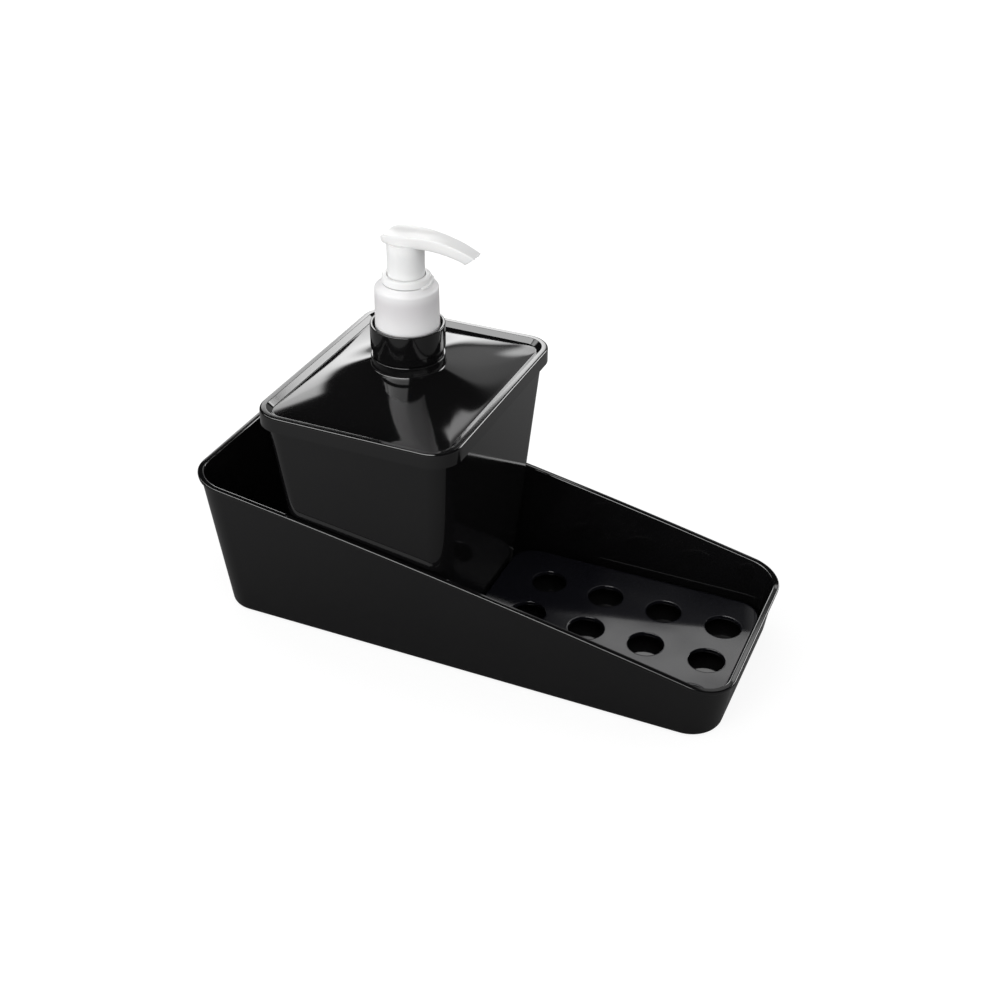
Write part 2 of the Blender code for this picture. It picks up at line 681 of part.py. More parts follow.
def make_spring(finish):
    """The return spring between the housing's ledge and the piston seat."""
    low = BARREL_BASE + GAP + SPRING_WIRE / 2
    high = FOOT_BASE - GAP - SPRING_WIRE / 2
    count = SPRING_TURNS * SPRING_STEPS
    curve = bpy.data.curves.new("spring", "CURVE")
    curve.dimensions = "3D"
    curve.bevel_depth = SPRING_WIRE / 2
    curve.bevel_resolution = 1
    curve.use_fill_caps = True
    line = curve.splines.new("POLY")
    line.points.add(count)
    for index in range(count + 1):
        line.points[index].co = (*spring_point(index / SPRING_STEPS, low, high), 1.0)
    curve.materials.append(finish)
    spring = bpy.data.objects.new("spring", curve)
    spring.location.x = CANISTER_X
    bpy.context.collection.objects.link(spring)


def section(low_x, low_z, high_x, high_z, half_width, roundness):
    """An upright rounded section across the head, which may lean along the spout."""
    ring = []
    for step in range(SECTION_STEPS):
        angle = 2 * math.pi * step / SECTION_STEPS
        across = math.copysign(abs(math.cos(angle)) ** roundness, math.cos(angle))
        share = (math.copysign(abs(math.sin(angle)) ** roundness, math.sin(angle)) + 1) / 2
        ring.append((blend(low_x, high_x, share), half_width * across, blend(low_z, high_z, share)))
    return ring


def along_head(share):
    """A place along the head: behind the axis in shares of its back, in front in shares of its reach."""
    return share * (HEAD_BACK if share < 0 else SPOUT_REACH)


def make_actuator(finish):
    """Thumb pad, spout and skirt in one, hollow for the stem and the liquid's way out."""
    rings = [section(along_head(low_x), HEAD_BASE + low_z * HEAD_HEIGHT, along_head(high_x),
                     HEAD_BASE + high_z * HEAD_HEIGHT, width * HEAD_HALF_WIDTH, HEAD_ROUNDNESS_SHARE)
             for low_x, low_z, high_x, high_z, width in HEAD_SHARES]
    head = shell("actuator", rings, finish, x=CANISTER_X)
    skirt = turned("skirt_form", ((SKIRT_RADIUS, SKIRT_BASE), (SKIRT_RADIUS, HEAD_BASE + HEAD_HEIGHT / 3)),
                   joined=False)
    hollow = turned("hollow_form", (
        (SKIRT_RADIUS - SKIRT_WALL, SKIRT_BASE - CUT_OVERRUN),
        (SKIRT_RADIUS - SKIRT_WALL, CEILING_BASE),
        (BOSS_RADIUS, CEILING_BASE),
        (BOSS_RADIUS, BOSS_BASE),
        (STEM_RADIUS + GAP, BOSS_BASE),
        (STEM_RADIUS + GAP, BORE_TOP),
        (RISER_RADIUS, BORE_TOP),
        (RISER_RADIUS, RISER_TOP),
    ), joined=False)
    duct_line = [(share * SPOUT_REACH, HEAD_BASE + height * HEAD_HEIGHT) for share, height in DUCT_SHARES]
    duct_rings = [section(x, z - DUCT_RADIUS, x, z + DUCT_RADIUS, DUCT_RADIUS, 1.0) for x, z in duct_line]
    duct = shell("duct_form", duct_rings, x=CANISTER_X)
    change(head, skirt, "UNION")
    change(head, hollow, "DIFFERENCE")
    change(head, duct, "DIFFERENCE")


def main():
    """Clear the scene and build every piece."""
    for old in list(bpy.data.objects):
        bpy.data.objects.remove(old)
    black = material("black_gloss_plastic", (0.012, 0.012, 0.013), 0.08)
    grey = material("dark_grid_plastic", (0.02, 0.02, 0.024), 0.2)
    white = material("white_plastic", (0.9, 0.9, 0.89), 0.3)
    milky = material("milky_closure_plastic", (0.8, 0.79, 0.79), 0.4)
    clear = material("natural_pump_plastic", (0.75, 0.75, 0.73), 0.35)
    rubber = material("gasket_rubber", (0.6, 0.6, 0.58), 0.7)
    steel = material("spring_steel", (0.6, 0.6, 0.6), 0.25, 1.0)
    make_tray(black)
    make_grid(grey)
    make_canister(black)
    make_lid(black)
    make_neck_ring(black)
    make_closure(milky)
    make_neck_gasket(rubber)
    make_retainer(white)
    make_housing(clear)
    make_dip_tube(clear)
    make_ball(steel)
    make_stem(clear)
    make_piston(clear)
    make_piston_seat(clear)
    make_spring(steel)
    make_actuator(white)


main()
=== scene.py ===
import math

import bmesh
import bpy
from mathutils import Matrix, Vector


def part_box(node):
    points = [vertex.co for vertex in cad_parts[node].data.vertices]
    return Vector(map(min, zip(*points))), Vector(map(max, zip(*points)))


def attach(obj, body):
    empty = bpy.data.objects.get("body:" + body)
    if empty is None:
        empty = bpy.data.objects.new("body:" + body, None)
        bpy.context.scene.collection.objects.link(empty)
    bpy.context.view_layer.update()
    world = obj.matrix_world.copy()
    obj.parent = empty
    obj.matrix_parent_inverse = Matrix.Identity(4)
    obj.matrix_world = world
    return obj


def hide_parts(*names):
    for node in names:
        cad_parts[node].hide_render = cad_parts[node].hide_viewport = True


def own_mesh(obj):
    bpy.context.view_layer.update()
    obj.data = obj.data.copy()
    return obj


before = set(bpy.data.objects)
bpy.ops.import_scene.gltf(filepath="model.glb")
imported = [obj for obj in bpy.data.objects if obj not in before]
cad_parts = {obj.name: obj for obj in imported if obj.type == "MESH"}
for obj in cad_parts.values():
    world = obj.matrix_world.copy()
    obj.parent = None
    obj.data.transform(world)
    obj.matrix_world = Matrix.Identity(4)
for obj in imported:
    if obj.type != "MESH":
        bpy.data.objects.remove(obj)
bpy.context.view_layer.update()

print("frame loaded")

mm = 0.001

# how finely the round shapes are drawn; arcReach is how much of a side a corner's arc may take
detail = {"sideSteps": 10, "cornerSteps": 14, "arcSteps": 5, "arcReach": 0.48, "lidRings": 26,
          "turnedSteps": 128, "sharpAngle": 35}
ringSteps = 4 * (2 * detail["sideSteps"] + detail["cornerSteps"])


def boxOf(node):
    low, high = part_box(node)
    return Vector(low), Vector(high)


# places that everything else is measured from
trayLow, trayHigh = boxOf("tray")
canLow, canHigh = boxOf("canister")
lidLow, lidHigh = boxOf("lid")
gridLow, gridHigh = boxOf("drip_grid")
closureLow, closureHigh = boxOf("closure")
ringLow, ringHigh = boxOf("neck_ring")
retainerLow, retainerHigh = boxOf("retainer")
headLow, headHigh = boxOf("actuator")
axisX = (closureLow.x + closureHigh.x) / 2


def mix(first, second, share):
    return first + (second - first) * share


def quarterTurn(quadrant, ahead, across):
    return ((ahead, across), (-across, ahead), (-ahead, -across), (across, -ahead))[quadrant]


def roundedOutline(halfX, halfY, radius, centre=(0, 0)):
    points = []
    for quadrant in range(4):
        ahead, across = (halfX, halfY) if quadrant % 2 == 0 else (halfY, halfX)
        for step in range(detail["sideSteps"]):
            points.append(quarterTurn(quadrant, ahead, (across - radius) * step / detail["sideSteps"]))
        for step in range(detail["cornerSteps"]):
            angle = math.pi / 2 * step / detail["cornerSteps"]
            points.append(quarterTurn(quadrant, ahead - radius + radius * math.cos(angle),
                                      across - radius + radius * math.sin(angle)))
        for step in range(detail["sideSteps"]):
            points.append(quarterTurn(quadrant, (ahead - radius) * (1 - step / detail["sideSteps"]), across))
    return [(x + centre[0], y + centre[1]) for x, y in points]


def circlePoints(radius, steps):
    return [(radius * math.cos(2 * math.pi * step / steps), radius * math.sin(2 * math.pi * step / steps))
            for step in range(steps)]


def atHeight(points, z):
    return [(x, y, z) for x, y in points]


# a profile with rounded corners: each corner is (out, up, radius), and arcs replace the sharp points
def softProfile(corners, closed=True):
    points = []
    count = len(corners)
    for index, (out, up, radius) in enumerate(corners):
        here = Vector((out, up))
        if not closed and index in (0, count - 1) or radius <= 0:
            points.append((out, up))
            continue
        back = Vector(corners[index - 1][:2]) - here
        ahead = Vector(corners[(index + 1) % count][:2]) - here
        reach = min(back.length, ahead.length) * detail["arcReach"]
        angle = back.angle(ahead)
        cut = min(radius / math.tan(angle / 2), reach)
        start = here + back.normalized() * cut
        end = here + ahead.normalized() * cut
        for step in range(detail["arcSteps"] + 1):
            share = step / detail["arcSteps"]
            point = start.lerp(here, share).lerp(here.lerp(end, share), share)
            points.append((point.x, point.y))
    return points


# a closed skin through rings that all hold the same number of points
def skinRings(form, rings, joined=False, capStart=True, capEnd=True):
    loops = [[form.verts.new(point) for point in ring] for ring in rings]
    for loop, after in zip(loops, loops[1:] + loops[:1] if joined else loops[1:]):
        for index in range(len(loop)):
            following = (index + 1) % len(loop)
            form.faces.new((loop[index], loop[following], after[following], after[index]))
    if not joined and capStart:
        form.faces.new(loops[0][::-1])
    if not joined and capEnd:
        form.faces.new(loops[-1])
    return loops


def makeObject(name, form, finish, flatSharp=detail["sharpAngle"]):
    mesh = bpy.data.meshes.new(name)
    form.to_mesh(mesh)
    form.free()
    mesh.shade_smooth()
    if flatSharp:
        mesh.set_sharp_from_angle(angle=math.radians(flatSharp))
    mesh.materials.append(finish)
    made = bpy.data.objects.new(name, mesh)
    bpy.context.collection.objects.link(made)
    return made


# a piece's mesh with its modifiers worked in
def bakedMesh(piece):
    bpy.context.view_layer.update()
    return bpy.data.meshes.new_from_object(piece.evaluated_get(bpy.context.evaluated_depsgraph_get()))


# large flat faces keep their own direction beside narrow rounded edges
def evenNormals(piece):
    weighted = piece.modifiers.new("evenNormals", "WEIGHTED_NORMAL")
    weighted.keep_sharp = True
    plain = bakedMesh(piece)
    piece.modifiers.remove(weighted)
    piece.data = plain
    plain.name = piece.name
    return piece


# a profile turned about the pump's upright axis
def turnedPiece(name, corners, finish):
    form = bmesh.new()
    skinRings(form, [[(x + axisX, y, up) for x, y in circlePoints(out, detail["turnedSteps"])]
                     for out, up in softProfile(corners)], joined=True)
    return makeObject(name, form, finish)


# what a piece rides on, and the node that it stands for
def placePiece(piece, body, node=None):
    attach(piece, body)
    if node:
        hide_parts(node)


# shader helpers
def newMaterial(name):
    material = bpy.data.materials.new(name)
    material.use_nodes = True
    return material, material.node_tree, material.node_tree.nodes["Principled BSDF"]


# each input is given a value, another node's output, or a list of outputs
def setInputs(tree, node, inputs):
    for label, value in inputs.items():
        for source in value if isinstance(value, list) else [value]:
            if isinstance(source, bpy.types.NodeSocket):
                tree.links.new(source, node.inputs[label])
            else:
                node.inputs[label].default_value = source


def addNode(tree, kind, inputs=None, **settings):
    node = tree.nodes.new(kind)
    for key, value in settings.items():
        setattr(node, key, value)
    setInputs(tree, node, inputs or {})
    return node


def calculate(tree, operation, *terms):
    return addNode(tree, "ShaderNodeMath", dict(enumerate(terms)), operation=operation).outputs[0]


def noiseOver(tree, scale, fineness=2):
    place = addNode(tree, "ShaderNodeTexCoord")
    return addNode(tree, "ShaderNodeTexNoise", {"Vector": place.outputs["Object"], "Scale": scale,
                                                "Detail": fineness}).outputs["Fac"]


# a node group; an input is named by its kind of socket, or by a number that it starts from
def startGroup(name, kind, inputs, outputs):
    group = bpy.data.node_groups.new(name, kind)
    for label, value in inputs.items():
        byKind = isinstance(value, str)
        socket = group.interface.new_socket(name=label, in_out="INPUT",
                                            socket_type="NodeSocket" + (value if byKind else "Float"))
        if not byKind:
            socket.default_value = value
    for label, socketKind in outputs.items():
        group.interface.new_socket(name=label, in_out="OUTPUT", socket_type="NodeSocket" + socketKind)
    return group, addNode(group, "NodeGroupInput").outputs, addNode(group, "NodeGroupOutput")


# shared group: handling marks, which vary gloss, and the slow waves and fine grain of moulded plastic
def buildSurfaceGroup():
    fineness = {"marks": 6, "waves": 1, "grain": 2}
    noiseMiddle = 0.5
    group, start, end = startGroup("mouldedSurface", "ShaderNodeTree", {
        "Gloss": 0.1, "Gloss Spread": 0.03, "Mark Scale": 40.0, "Wave Scale": 9.0, "Wave Height": 0.0002,
        "Grain Scale": 1800.0, "Grain Height": 0.00001}, {"Roughness": "Float", "Height": "Float"})
    marks = noiseOver(group, start["Mark Scale"], fineness["marks"])
    centred = calculate(group, "SUBTRACT", marks, noiseMiddle)
    waves = noiseOver(group, start["Wave Scale"], fineness["waves"])
    grain = noiseOver(group, start["Grain Scale"], fineness["grain"])
    setInputs(group, end, {
        "Roughness": calculate(group, "MULTIPLY_ADD", centred, start["Gloss Spread"], start["Gloss"]),
        "Height": calculate(group, "MULTIPLY_ADD", grain, start["Grain Height"],
                            calculate(group, "MULTIPLY", waves, start["Wave Height"]))})
    return group


surfaceGroup = buildSurfaceGroup()


# noise clouds that mix two colours
def cloudColours(tree, shader, first, second, scale):
    tint = addNode(tree, "ShaderNodeMix", data_type="RGBA")
    setInputs(tree, tint, {"A": (*first, 1), "B": (*second, 1), "Factor": noiseOver(tree, scale)})
    setInputs(tree, shader, {"Base Color": tint.outputs["Result"]})


# what a plastic has unless its own values say otherwise
plasticValues = {"bend": 1.5, "shine": 0.5, "softSpread": (1, 0.95, 0.9), "cloudScale": 25}


# one moulded plastic; the values are what a user would change
def mouldedPlastic(name, ownValues):
    values = {**plasticValues, "cloudColour": ownValues["colour"], **ownValues}
    material, tree, shader = newMaterial(name)
    surface = addNode(tree, "ShaderNodeGroup", node_tree=surfaceGroup)
    setInputs(tree, surface, {label: values[label] for label in surface.inputs.keys() if label in values})
    bump = addNode(tree, "ShaderNodeBump", {"Distance": 1.0, "Height": surface.outputs["Height"]})
    setInputs(tree, shader, {
        "Base Color": (*values["colour"], 1), "IOR": values["bend"], "Specular IOR Level": values["shine"],
        "Roughness": surface.outputs["Roughness"], "Normal": bump.outputs["Normal"]})
    if "softness" in values:
        setInputs(tree, shader, {
            "Subsurface Weight": values["softness"], "Subsurface Scale": values["softDepth"],
            "Subsurface Radius": values["softSpread"]})
    cloudColours(tree, shader, values["colour"], values["cloudColour"], values["cloudScale"])
    return material


blackGloss = mouldedPlastic("blackGloss", {
    "colour": (0.0035, 0.0035, 0.0038), "cloudColour": (0.0055, 0.0053, 0.0055), "Gloss": 0.07,
    "Gloss Spread": 0.05, "Mark Scale": 30.0, "Wave Scale": 14.0, "Wave Height": 0.00012,
    "Grain Height": 0.000002})
gridGloss = mouldedPlastic("gridGloss", {
    "colour": (0.0065, 0.0068, 0.0095), "cloudColour": (0.009, 0.009, 0.012), "Gloss": 0.1,
    "Gloss Spread": 0.05, "Mark Scale": 60.0, "Wave Scale": 30.0, "Wave Height": 0.00025,
    "Grain Height": 0.000003})
whitePlastic = mouldedPlastic("whitePlastic", {
    "colour": (0.86, 0.86, 0.86), "cloudColour": (0.88, 0.88, 0.87), "Gloss": 0.3, "Gloss Spread": 0.06,
    "shine": 0.22, "softness": 0.35, "softDepth": 2.5 * mm, "Wave Height": 0.00004})
naturalPlastic = mouldedPlastic("naturalPlastic", {
    "colour": (0.74, 0.74, 0.71), "cloudColour": (0.78, 0.78, 0.76), "Gloss": 0.35, "Gloss Spread": 0.08,
    "softness": 0.5, "softDepth": 2 * mm, "Wave Height": 0.00003})
gasketFoam = mouldedPlastic("gasketFoam", {
    "colour": (0.58, 0.58, 0.55), "cloudColour": (0.66, 0.66, 0.63), "cloudScale": 400, "Gloss": 0.8,
    "Gloss Spread": 0.1, "Grain Scale": 2500.0, "Grain Height": 0.00008})


# the closure is milky; its colour is painted darker over its middle height, a painted shade where the black
# neck inside would show through
def milkyPlastic():
    values = {"pale": (0.84, 0.835, 0.84), "shaded": (0.7, 0.685, 0.695), "shadeLow": 143.5 * mm,
              "shadeHigh": 158.5 * mm, "fade": 0.12, "softness": 0.25, "softDepth": 2 * mm}
    material = mouldedPlastic("milkyPlastic", {
        "colour": values["pale"], "Gloss": 0.38, "Gloss Spread": 0.05, "Wave Height": 0.00003, "shine": 0.35,
        "softness": values["softness"], "softDepth": values["softDepth"]})
    tree = material.node_tree
    place = addNode(tree, "ShaderNodeTexCoord")
    apart = addNode(tree, "ShaderNodeSeparateXYZ", {0: place.outputs["Object"]})
    height = addNode(tree, "ShaderNodeMapRange", {"Value": apart.outputs["Z"], "From Min": closureLow.z,
                                                  "From Max": closureHigh.z})
    # painted shade: the ramp greys the colour between the pale bottom and the pale top
    ramp = addNode(tree, "ShaderNodeValToRGB", {"Fac": height.outputs[0]})
    tall = closureHigh.z - closureLow.z
    low, high = ((values[key] - closureLow.z) / tall for key in ("shadeLow", "shadeHigh"))
    colours = ramp.color_ramp
    colours.interpolation = "EASE"
    colours.elements[0].position = low
    colours.elements[0].color = (*values["pale"], 1)
    colours.elements[1].position = high + values["fade"]
    colours.elements[1].color = (*values["pale"], 1)
    colours.elements.new(high - values["fade"]).color = (*values["shaded"], 1)
    setInputs(tree, tree.nodes["Principled BSDF"], {"Base Color": ramp.outputs["Color"]})
    return material


closurePlastic = milkyPlastic()


# drawn spring wire and the polished ball
def steelMaterial():
    values = {"colour": (0.62, 0.62, 0.63), "worn": (0.5, 0.5, 0.5), "scale": 900, "roughness": 0.22}
    material, tree, shader = newMaterial("brightSteel")
    setInputs(tree, shader, {"Metallic": 1, "Roughness": values["roughness"]})
    cloudColours(tree, shader, values["colour"], values["worn"], values["scale"])
    return material


brightSteel = steelMaterial()
print("materials made")

# the sloping tray; rootDrop is a share of lipReach, ribTop and ribCorner are shares of ribWidth, and canFoot
# is the share of the canister's length at which its narrower foot begins
trayValues = {"lowEnd": 26 * mm, "crown": 1.9 * mm, "wall": 1.8 * mm, "floor": 2 * mm, "corner": 14.5 * mm,
              "cornerGrowth": 2 * mm, "endDraft": 0.138, "sideDraft": 0.053, "footEdge": 2.2 * mm,
              "lipReach": 1.2 * mm, "lipHeight": 2 * mm, "lipEdge": 0.8 * mm, "innerEdge": 0.9 * mm,
              "rootEdge": 0.7 * mm, "rootDrop": 0.4, "fillet": 0.8 * mm, "width": 97.4 * mm,
              "floorInset": 8 * mm, "ribLength": 60 * mm, "ribWidth": 1.8 * mm, "ribHeight": 6 * mm,
              "ribEdge": 0.5 * mm, "ribTop": 0.35, "ribCorner": 0.45, "ribSink": 0.2 * mm, "ribGap": 0.8 * mm,
              "canFoot": 0.0877}


def makeTray(values):
    tall = trayHigh.z
    grown = values["endDraft"] * (tall + values["lowEnd"]) + 2 * values["lipReach"]
    length = trayHigh.x - trayLow.x - grown
    middle = trayLow.x + values["lipReach"] + values["endDraft"] * tall + length / 2

    def outline(z, offset):
        growth = values["cornerGrowth"] * z / tall
        return roundedOutline(length / 2 + values["endDraft"] * z + offset,
                              values["width"] / 2 + values["sideDraft"] * z + offset,
                              values["corner"] + growth + offset, (middle, 0))

    foot = outline(0, 0)
    profiles = []
    for x, _ in foot:
        share = (x - middle) / length + 0.5
        rim = mix(tall, values["lowEnd"], share) + 4 * values["crown"] * share * (1 - share)
        profiles.append(softProfile([
            (-values["floorInset"], 0, 0),
            (0, 0, values["footEdge"]),
            (0, rim - values["lipHeight"] - values["lipReach"] * values["rootDrop"], values["rootEdge"]),
            (values["lipReach"], rim - values["lipHeight"], values["rootEdge"]),
            (values["lipReach"], rim, values["lipEdge"]),
            (-values["wall"], rim, values["innerEdge"]),
            (-values["wall"], values["floor"], values["fillet"]),
            (-values["wall"] - values["floorInset"], values["floor"], 0),
        ], closed=False))
    rings = []
    for level in range(len(profiles[0])):
        heights = [profile[level] for profile in profiles]
        rings.append([(*outline(z, offset)[index], z) for index, (offset, z) in enumerate(heights)])
    form = bmesh.new()
    skinRings(form, rings)
    placePiece(evenNormals(makeObject("trayShell", form, blackGloss)), "tray", "tray")
    width = values["ribWidth"]
    ribX = canLow.x + (canHigh.x - canLow.x) * values["canFoot"] - values["ribGap"] - width / 2
    ribTop = values["floor"] + values["ribHeight"]
    form = bmesh.new()
    skinRings(form, [atHeight(roundedOutline(width / 2 + inset, values["ribLength"] / 2 + inset,
                                             width * values["ribCorner"] + inset, (ribX, 0)), z)
                     for inset, z in softProfile([(0, values["floor"] - values["ribSink"], 0),
                                                  (0, ribTop, values["ribEdge"]),
                                                  (-width * values["ribTop"], ribTop, 0)], closed=False)])
    placePiece(evenNormals(makeObject("trayRib", form, blackGloss)), "tray")


makeTray(trayValues)
print("tray made")

# the tapered canister; its function gives back the half sizes at a height, which the lid's plug follows
canValues = {"footLength": 72.8 * mm, "footWidth": 84.9 * mm, "corner": 9 * mm, "wall": 1.8 * mm,
             "floor": 2 * mm, "footEdge": 2.2 * mm, "lipEdge": 0.5 * mm, "fillet": 3 * mm,
             "floorInset": 5 * mm}


def makeCanister(values):
    height = canHigh.z - canLow.z

    def halves(z):
        share = (z - canLow.z) / height
        return (mix(values["footLength"], canHigh.x - canLow.x, share) / 2,
                mix(values["footWidth"], canHigh.y - canLow.y, share) / 2)

    profile = softProfile([
        (-values["floorInset"], canLow.z, 0),
        (0, canLow.z, values["footEdge"]),
        (0, canHigh.z, values["lipEdge"]),
        (-values["wall"], canHigh.z, values["lipEdge"]),
        (-values["wall"], canLow.z + values["floor"], values["fillet"]),
        (-values["wall"] - values["floorInset"], canLow.z + values["floor"], 0),
    ], closed=False)
    rings = []
    for offset, z in profile:
        halfX, halfY = halves(z)
        outline = roundedOutline(halfX + offset, halfY + offset, values["corner"] + offset, (axisX, 0))
        rings.append(atHeight(outline, z))
    form = bmesh.new()
    skinRings(form, rings)
    placePiece(evenNormals(makeObject("canisterShell", form, blackGloss)), "canister",
               "canister")
    return halves


canHalves = makeCanister(canValues)
print("canister made")

# the dished lid: a rim, a steep bank down to a valley, and a smooth roof that grows round towards the neck;
# filletRise is a share of neckFillet
lidValues = {"corner": 13 * mm, "edge": 1.1 * mm, "rimWidth": 2.9 * mm, "innerEdge": 0.35 * mm,
             "skirt": 6.9 * mm, "skirtWall": 1.8 * mm, "seat": 0.3 * mm, "bankReach": 2.6 * mm,
             "dish": 2.1 * mm, "valleyEdge": 0.9 * mm, "valleyRun": 0.6 * mm, "valleyRise": 0.15 * mm,
             "neckRise": 6.5 * mm, "curve": 1.15, "rounding": 3, "neckFillet": 1.2 * mm, "filletRise": 0.4,
             "tier": 5 * mm, "tierEdge": 0.4 * mm, "neckEdge": 0.4 * mm, "neckRadius": 11.65 * mm,
             "neckBore": 10.2 * mm, "neckHeight": 27.4 * mm, "skin": 2 * mm, "plugDepth": 5.5 * mm,
             "plugWall": 1.6 * mm, "plugGap": 0.3 * mm, "sharpAngle": 50}


def makeLid(values):
    halfX, halfY = (lidHigh.x - lidLow.x) / 2, (lidHigh.y - lidLow.y) / 2
    tierTop = lidHigh.z - values["neckHeight"]
    neckFoot = tierTop - values["tier"]
    top = neckFoot - values["neckRise"]
    valley = top - values["dish"]
    skirtBase = top - values["skirt"]
    neckOut = (ringHigh.x - ringLow.x) / 2
    seat = canHigh.z + values["seat"]
    plugBase = seat - values["plugDepth"]
    circle = circlePoints(1, ringSteps)

    def rimRing(inset, z):
        return atHeight(roundedOutline(halfX - inset, halfY - inset, values["corner"] - inset, (axisX, 0)), z)

    def roofRing(outX, outY, corner, neck, share, drop):
        outer = roundedOutline(outX, outY, corner)
        roundness = 1 - (1 - share) ** values["rounding"]
        z = mix(valley, neckFoot, share ** values["curve"]) - drop
        ring = []
        for index, (turnX, turnY) in enumerate(circle):
            x = mix(mix(outer[index][0], turnX * neck, share), mix(outX, neck, share) * turnX, roundness)
            y = mix(mix(outer[index][1], turnY * neck, share), mix(outY, neck, share) * turnY, roundness)
            ring.append((x + axisX, y, z))
        return ring

    bankFoot = values["rimWidth"] + values["bankReach"]
    rings = [rimRing(-offset, z) for offset, z in softProfile([
        (0, skirtBase, 0),
        (0, top, values["edge"]),
        (-values["rimWidth"], top, values["innerEdge"]),
        (-bankFoot, valley, values["valleyEdge"]),
        (-bankFoot - values["valleyRun"], valley + values["valleyRise"], 0),
    ], closed=False)[:-1]]
    for step in range(1, detail["lidRings"] + 1):
        rings.append(roofRing(halfX - bankFoot, halfY - bankFoot, values["corner"] - bankFoot,
                              neckOut + values["neckFillet"], step / detail["lidRings"], 0))
    neckProfile = softProfile([
        (neckOut + values["neckFillet"], neckFoot, 0),
        (neckOut, neckFoot + values["neckFillet"] * values["filletRise"], values["neckFillet"]),
        (neckOut, tierTop, values["tierEdge"]),
        (values["neckRadius"], tierTop, values["tierEdge"]),
        (values["neckRadius"], lidHigh.z, values["neckEdge"]),
        (values["neckBore"], lidHigh.z, values["neckEdge"]),
        (values["neckBore"], neckFoot - values["skin"], 0),
    ], closed=False)
    for radius, z in neckProfile[1:]:
        rings.append([(x * radius + axisX, y * radius, z) for x, y in circle])
    plugX, plugY = canHalves(plugBase)
    setback = canValues["wall"] + values["plugGap"]
    wall = setback + values["plugWall"]
    for step in range(1, detail["lidRings"] // 2 + 1):
        rings.append(roofRing(plugX - wall, plugY - wall, canValues["corner"] - wall, values["neckBore"],
                              1 - step / (detail["lidRings"] // 2), values["skin"]))
    for inset, z in ((wall, plugBase), (setback, plugBase), (setback, seat)):
        wallX, wallY = canHalves(z)
        outline = roundedOutline(wallX - inset, wallY - inset, canValues["corner"] - inset, (axisX, 0))
        rings.append(atHeight(outline, z))
    rings.append(rimRing(values["skirtWall"], seat))
    rings.append(rimRing(values["skirtWall"], skirtBase))
    form = bmesh.new()
    skinRings(form, rings, joined=True)
    lid = makeObject("lidShell", form, blackGloss, values["sharpAngle"])
    placePiece(evenNormals(lid), "lid", "lid")


makeLid(lidValues)
print("lid made")

# the ring round the closure's foot, and the nub on its side
ringValues = {"wall": 1.4 * mm, "stepHeight": 3.4 * mm, "stepDepth": 0.8 * mm, "stepEdge": 0.5 * mm,
              "edge": 0.5 * mm, "smallEdge": 0.1 * mm, "nubRadius": 0.9 * mm, "nubSink": 0.5 * mm,
              "nubAngle": 236, "nubHeight": 6.6 * mm, "nubSides": 24, "nubRings": 16}


def makeNeckRing(values):
    out = (ringHigh.x - ringLow.x) / 2
    step = ringLow.z + values["stepHeight"]
    ring = turnedPiece("neckRing", [
        (out - values["stepDepth"], ringLow.z, values["smallEdge"]),
        (out - values["stepDepth"], step - values["stepDepth"] / 2, values["smallEdge"]),
        (out, step, values["stepEdge"]),
        (out, ringHigh.z, values["edge"]),
        (out - values["wall"], ringHigh.z, values["edge"]),
        (out - values["wall"], ringLow.z, values["smallEdge"]),
    ], blackGloss)
    placePiece(evenNormals(ring), "lid", "neck_ring")
    angle = math.radians(values["nubAngle"])
    away = out - values["nubSink"]
    form = bmesh.new()
    bmesh.ops.create_uvsphere(form, u_segments=values["nubSides"], v_segments=values["nubRings"],
                              radius=values["nubRadius"])
    bmesh.ops.translate(form, verts=form.verts, vec=(axisX + math.cos(angle) * away, math.sin(angle) * away,
                                                     ringLow.z + values["nubHeight"]))
    placePiece(makeObject("ringNub", form, blackGloss), "lid")


makeNeckRing(ringValues)

# the milky screw closure
closureValues = {"wall": 1.65 * mm, "taper": 0.3 * mm, "chamferRise": 2.1 * mm, "chamferWidth": 3.3 * mm,
                 "deck": 2.8 * mm, "hole": 9.3 * mm, "edge": 0.5 * mm, "shoulderEdge": 1.4 * mm,
                 "holeEdge": 0.2 * mm, "innerEdge": 0.4 * mm}


def makeClosure(values):
    out = (closureHigh.x - closureLow.x) / 2
    closure = turnedPiece("closureShell", [
        (out, closureLow.z, values["edge"]),
        (out - values["taper"], closureHigh.z - values["chamferRise"], values["shoulderEdge"]),
        (out - values["taper"] - values["chamferWidth"], closureHigh.z, values["edge"]),
        (values["hole"], closureHigh.z, values["holeEdge"]),
        (values["hole"], closureHigh.z - values["deck"], values["holeEdge"]),
        (out - values["wall"], closureHigh.z - values["deck"], values["innerEdge"]),
        (out - values["wall"], closureLow.z, values["edge"]),
    ], closurePlastic)
    placePiece(evenNormals(closure), "closure", "closure")


makeClosure(closureValues)
print("closure made")

# the collar, with its sleeve and the guide for the stem
retainerValues = {"height": 3.3 * mm, "edge": 0.9 * mm, "bore": 8.4 * mm, "sleeve": 9.0 * mm,
                  "floor": 1.5 * mm, "guideBore": 3.9 * mm, "guideOut": 5.0 * mm, "guideLength": 4.6 * mm,
                  "innerEdge": 0.3 * mm, "sleeveEdge": 0.2 * mm, "guideEdge": 0.1 * mm}


